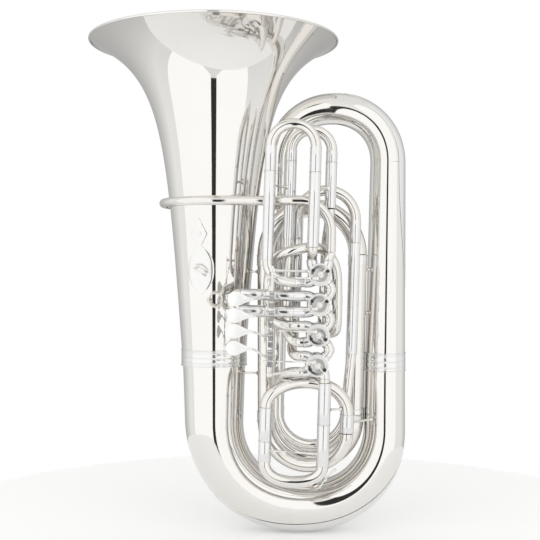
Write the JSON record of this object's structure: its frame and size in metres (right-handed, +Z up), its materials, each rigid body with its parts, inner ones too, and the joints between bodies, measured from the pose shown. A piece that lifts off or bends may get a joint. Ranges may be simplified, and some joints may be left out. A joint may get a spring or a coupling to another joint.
{
  "type": "tuba",
  "caption": "Upright rotary-valve tuba with a wide bell, nested conical bows, rotary valves worked by finger levers, and pull-out tuning slides.",
  "frame": {"origin": "on the ground plane under the centre of the object's box, at the lowest point of the bottom bow", "axes": "+Z up along the bell axis towards the rim, +X from the bell towards the outer branch, -Y towards the side with the finger levers"},
  "size_m": [0.5723, 0.4499, 0.887],
  "materials": {
    "silver_mirror": "silver-plated brass, mirror polish",
    "silver_satin": "silver-plated nickel silver, softly polished",
    "silver_trim": "silver-plated nickel silver trim, polished",
    "silver_keywork": "silver-plated keywork, polished",
    "spring_steel": "bare steel wire",
    "bumper_rubber": "matt black rubber",
    "cork": "natural cork"
  },
  "bodies": {
    "frame": {"bell": "silver_mirror", "bell_ferrule": "silver_trim", "bottom_bow": "silver_mirror", "bottom_bow_guard": "silver_trim", "bow_ferrule": "silver_trim", "outer_branch": "silver_mirror", "outer_branch_guard": "silver_trim", "top_bow": "silver_mirror", "inner_branch": "silver_mirror", "inner_bow": "silver_mirror", "third_branch": "silver_mirror", "inner_top_bow": "silver_mirror", "fourth_branch": "silver_mirror", "front_bow": "silver_mirror", "tuning_crown": "silver_mirror", "branch_ferrules": "silver_trim", "main_slide_sleeves": "silver_satin", "leadpipe": "silver_mirror", "mouthpiece_receiver": "silver_satin", "valve_caps": "silver_satin", "stop_plates": "silver_satin", "stop_bumpers": "bumper_rubber", "knuckles": "silver_satin", "first_slide_sleeves": "silver_satin", "second_slide_sleeves": "silver_satin", "third_slide_sleeves": "silver_satin", "third_valve_loop": "silver_mirror", "fourth_slide_sleeves": "silver_satin", "fourth_valve_bow": "silver_mirror", "hinge_rod": "silver_keywork", "hinge_brackets": "silver_keywork", "lever_springs": "spring_steel", "braces": "silver_keywork", "bell_plates": "silver_trim", "strap_ring": "silver_keywork", "thumb_ring": "silver_keywork", "valve_casing_1": "silver_satin", "valve_casing_2": "silver_satin", "valve_casing_3": "silver_satin", "valve_casing_4": "silver_satin"},
    "main_slide": {"main_slide_crook": "silver_mirror", "water_key_saddle": "silver_keywork"},
    "water_key": {"water_key_lever": "silver_keywork", "water_key_cork": "cork"},
    "first_slide": {"first_slide_crook": "silver_mirror"},
    "second_slide": {"second_slide_crook": "silver_mirror"},
    "third_slide": {"third_slide_crook": "silver_mirror"},
    "fourth_slide": {"fourth_slide_crook": "silver_mirror"},
    "rotor_1": {"rotor_1": "silver_keywork"},
    "lever_1": {"lever_1": "silver_keywork"},
    "link_1": {"link_1": "silver_keywork"},
    "rotor_2": {"rotor_2": "silver_keywork"},
    "lever_2": {"lever_2": "silver_keywork"},
    "link_2": {"link_2": "silver_keywork"},
    "rotor_3": {"rotor_3": "silver_keywork"},
    "lever_3": {"lever_3": "silver_keywork"},
    "link_3": {"link_3": "silver_keywork"},
    "rotor_4": {"rotor_4": "silver_keywork"},
    "lever_4": {"lever_4": "silver_keywork"},
    "link_4": {"link_4": "silver_keywork"}
  },
  "joints": [
    {"name": "main_slide_pull", "type": "slide", "parent": "frame", "child": "main_slide", "axis": [-0.0314, 0, -0.9995], "range_m": [0, 0.045]},
    {"name": "first_slide_pull", "type": "slide", "parent": "frame", "child": "first_slide", "axis": [0.0314, 0, 0.9995], "range_m": [0, 0.1]},
    {"name": "second_slide_pull", "type": "slide", "parent": "frame", "child": "second_slide", "axis": [-0.9995, 0, 0.0314], "range_m": [0, 0.045]},
    {"name": "third_slide_pull", "type": "slide", "parent": "frame", "child": "third_slide", "axis": [0.0314, 0, 0.9995], "range_m": [0, 0.07]},
    {"name": "fourth_slide_pull", "type": "slide", "parent": "frame", "child": "fourth_slide", "axis": [0.0314, 0, 0.9995], "range_m": [0, 0.08]},
    {"name": "water_key_turn", "type": "hinge", "parent": "main_slide", "child": "water_key", "pos_m": [0.13493, -0.095, 0.11295], "axis": [0, -1, 0], "range_deg": [0, 9], "stiffness_Nm_per_rad": 0.02, "springref_deg": -17.19},
    {"name": "rotor_1_turn", "type": "hinge", "parent": "frame", "child": "rotor_1", "pos_m": [0.1255, -0.095, 0.465], "axis": [0, -1, 0], "range_deg": [0, 90]},
    {"name": "lever_1_press", "type": "hinge", "parent": "frame", "child": "lever_1", "pos_m": [0.04332, -0.157, 0.42886], "axis": [-0.0314, 0, -0.9995], "range_deg": [0, 24.5], "stiffness_Nm_per_rad": 0.1, "springref_deg": -20.05},
    {"name": "link_1_swing", "type": "hinge", "parent": "rotor_1", "child": "link_1", "pos_m": [0.11894, -0.1285, 0.45884], "axis": [0, -1, 0], "range_deg": [-90, 0]},
    {"name": "rotor_2_turn", "type": "hinge", "parent": "frame", "child": "rotor_2", "pos_m": [0.12388, -0.095, 0.41352], "axis": [0, -1, 0], "range_deg": [0, 90]},
    {"name": "lever_2_press", "type": "hinge", "parent": "frame", "child": "lever_2", "pos_m": [0.0423, -0.157, 0.39628], "axis": [-0.0314, 0, -0.9995], "range_deg": [0, 24.5], "stiffness_Nm_per_rad": 0.1, "springref_deg": -20.05},
    {"name": "link_2_swing", "type": "hinge", "parent": "rotor_2", "child": "link_2", "pos_m": [0.11732, -0.1285, 0.40736], "axis": [0, -1, 0], "range_deg": [-90, 0]},
    {"name": "rotor_3_turn", "type": "hinge", "parent": "frame", "child": "rotor_3", "pos_m": [0.12226, -0.095, 0.36205], "axis": [0, 1, 0], "range_deg": [0, 90]},
    {"name": "lever_3_press", "type": "hinge", "parent": "frame", "child": "lever_3", "pos_m": [0.04128, -0.157, 0.3637], "axis": [-0.0314, 0, -0.9995], "range_deg": [0, 24.5], "stiffness_Nm_per_rad": 0.1, "springref_deg": -20.05},
    {"name": "link_3_swing", "type": "hinge", "parent": "rotor_3", "child": "link_3", "pos_m": [0.1161, -0.1285, 0.36861], "axis": [0, 1, 0], "range_deg": [-90, 0]},
    {"name": "rotor_4_turn", "type": "hinge", "parent": "frame", "child": "rotor_4", "pos_m": [0.12065, -0.095, 0.31058], "axis": [0, 1, 0], "range_deg": [0, 90]},
    {"name": "lever_4_press", "type": "hinge", "parent": "frame", "child": "lever_4", "pos_m": [0.04025, -0.157, 0.33111], "axis": [-0.0314, 0, -0.9995], "range_deg": [0, 24.5], "stiffness_Nm_per_rad": 0.1, "springref_deg": -20.05},
    {"name": "link_4_swing", "type": "hinge", "parent": "rotor_4", "child": "link_4", "pos_m": [0.11449, -0.1285, 0.31714], "axis": [0, 1, 0], "range_deg": [-90, 0]}
  ],
  "couplings": [
    {"joint": "lever_1_press", "follows": "rotor_1_turn", "ratio": 0.2721},
    {"joint": "link_1_swing", "follows": "rotor_1_turn", "ratio": -1},
    {"joint": "lever_2_press", "follows": "rotor_2_turn", "ratio": 0.2721},
    {"joint": "link_2_swing", "follows": "rotor_2_turn", "ratio": -1},
    {"joint": "lever_3_press", "follows": "rotor_3_turn", "ratio": 0.2721},
    {"joint": "link_3_swing", "follows": "rotor_3_turn", "ratio": -1},
    {"joint": "lever_4_press", "follows": "rotor_4_turn", "ratio": 0.2721},
    {"joint": "link_4_swing", "follows": "rotor_4_turn", "ratio": -1}
  ]
}
